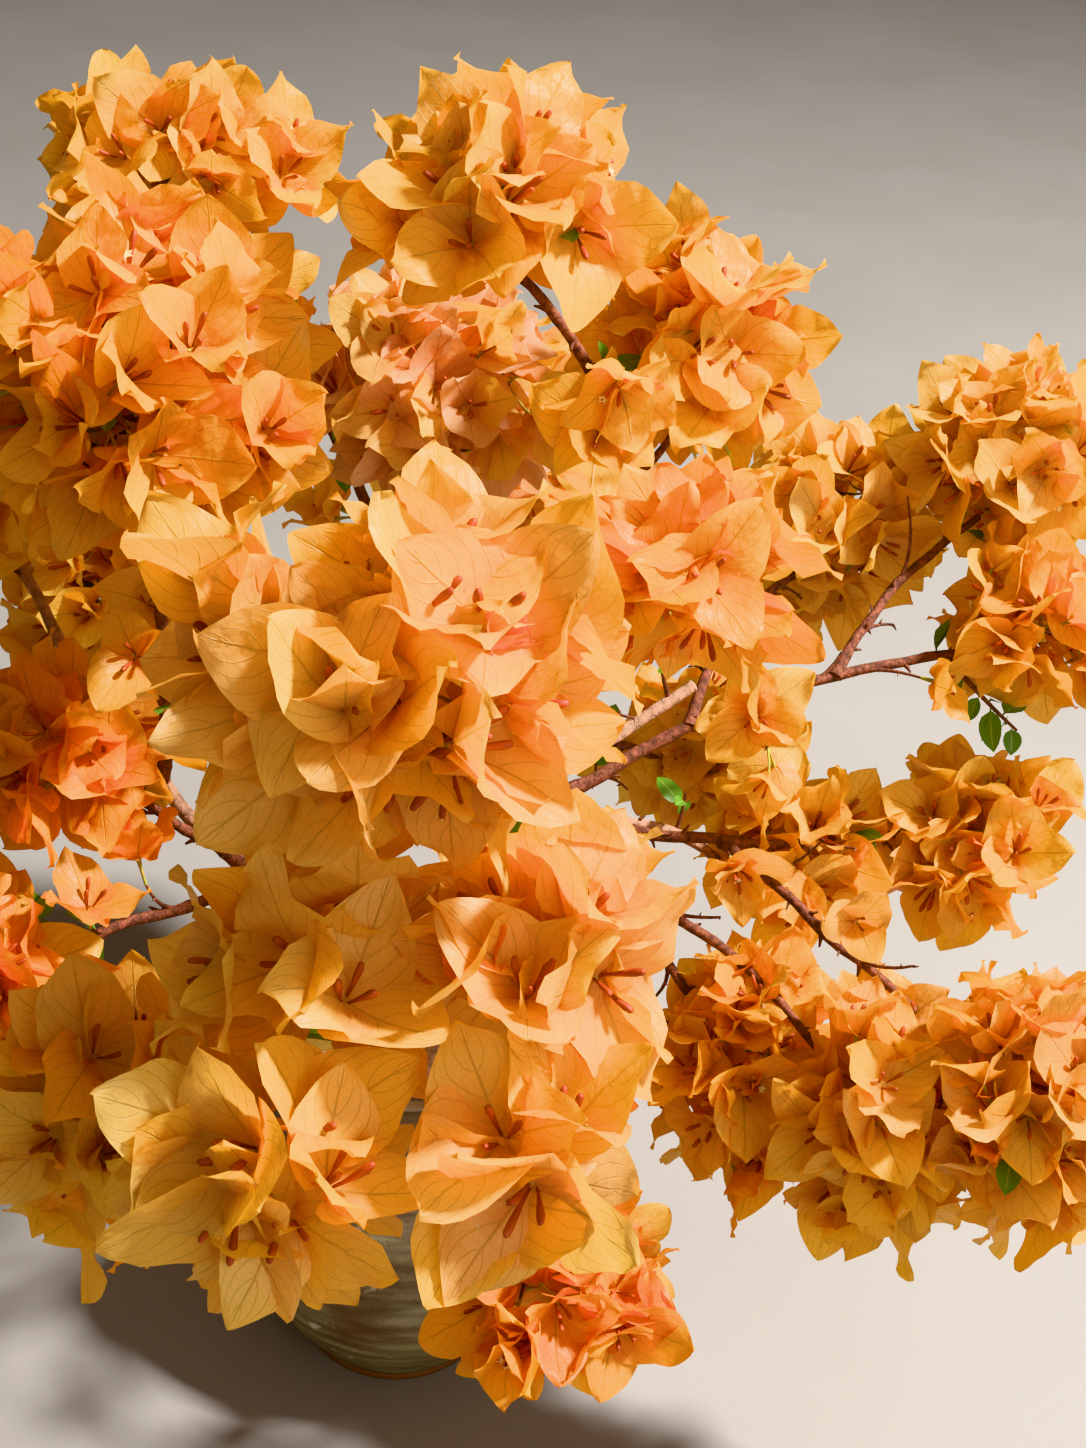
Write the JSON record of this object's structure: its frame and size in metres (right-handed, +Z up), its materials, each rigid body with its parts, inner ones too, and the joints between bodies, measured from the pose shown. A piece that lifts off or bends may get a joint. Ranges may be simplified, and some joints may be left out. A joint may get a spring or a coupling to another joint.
{
  "type": "bougainvillea bush",
  "caption": "Bougainvillea bush in full orange flower on forked, arching boughs, growing in a round-bellied stoneware jar filled with soil.",
  "frame": {"origin": "middle of the flat underside of the jar, on the surface that it stands on", "axes": "+Z up along the jar's axis, +X to the right in the picture's view, -Y towards the viewer"},
  "size_m": [0.8167, 0.8731, 0.8787],
  "materials": {
    "stoneware": "olive-brown ash-glazed stoneware with thrown rings",
    "soil": "coarse damp potting mix of bark and loam",
    "old_bark": "pale grey-tan old bark",
    "young_bark": "red-brown young bark",
    "bract_gold": "golden orange papery bracts",
    "bract_amber": "amber orange papery bracts",
    "bract_peach": "peach papery bracts",
    "bract_vermilion": "young vermilion orange bracts",
    "flower_tube": "slender dark red-orange flower tubes",
    "green_leaf": "fresh green leaves, stalks and shoots"
  },
  "bodies": {
    "root": {"arch_lower": "old_bark", "arch_upper": "young_bark", "back_limb": "old_bark", "blossom_arch_right": "bract_amber", "blossom_back": "bract_gold", "blossom_back_top": "bract_peach", "blossom_centre_right": "bract_amber", "blossom_left_back": "bract_gold", "blossom_left_far": "bract_amber", "blossom_left_low": "bract_vermilion", "blossom_left_middle": "bract_vermilion", "blossom_low_front": "bract_vermilion", "blossom_lower_centre_left": "bract_gold", "blossom_lower_centre_right": "bract_gold", "blossom_lower_front_left": "bract_gold", "blossom_lower_front_right": "bract_gold", "blossom_lower_left": "bract_amber", "blossom_near_centre": "bract_peach", "blossom_right_back_low": "bract_gold", "blossom_right_lower_far": "bract_peach", "blossom_right_lower_middle": "bract_gold", "blossom_right_lower_near": "bract_amber", "blossom_right_middle_far": "bract_gold", "blossom_right_middle_near": "bract_gold", "blossom_right_upper_far": "bract_gold", "blossom_right_upper_low": "bract_gold", "blossom_right_upper_near": "bract_gold", "blossom_top_centre": "bract_gold", "blossom_upper_left": "bract_amber", "blossom_upper_left_back": "bract_gold", "bough_arch_right": "young_bark", "bough_back_top": "young_bark", "bough_centre_right": "young_bark", "bough_left_back": "young_bark", "bough_left_low": "young_bark", "bough_left_middle": "young_bark", "bough_low_front": "young_bark", "bough_lower_centre_left": "young_bark", "bough_lower_centre_right": "young_bark", "bough_lower_front_left": "young_bark", "bough_lower_front_right": "young_bark", "bough_lower_left": "young_bark", "bough_right_back_low": "young_bark", "bough_right_lower": "young_bark", "bough_right_lower_far": "young_bark", "bough_right_lower_middle": "young_bark", "bough_right_middle": "young_bark", "bough_right_upper": "young_bark", "bough_right_upper_far": "young_bark", "bough_right_upper_near": "young_bark", "bough_upper_left": "young_bark", "bough_upper_left_back": "young_bark", "front_limb": "old_bark", "left_limb": "old_bark", "planter_jar": "stoneware", "potting_soil": "soil", "pruned_stub": "old_bark", "right_limb": "old_bark", "trunk": "old_bark"}
  },
  "joints": []
}
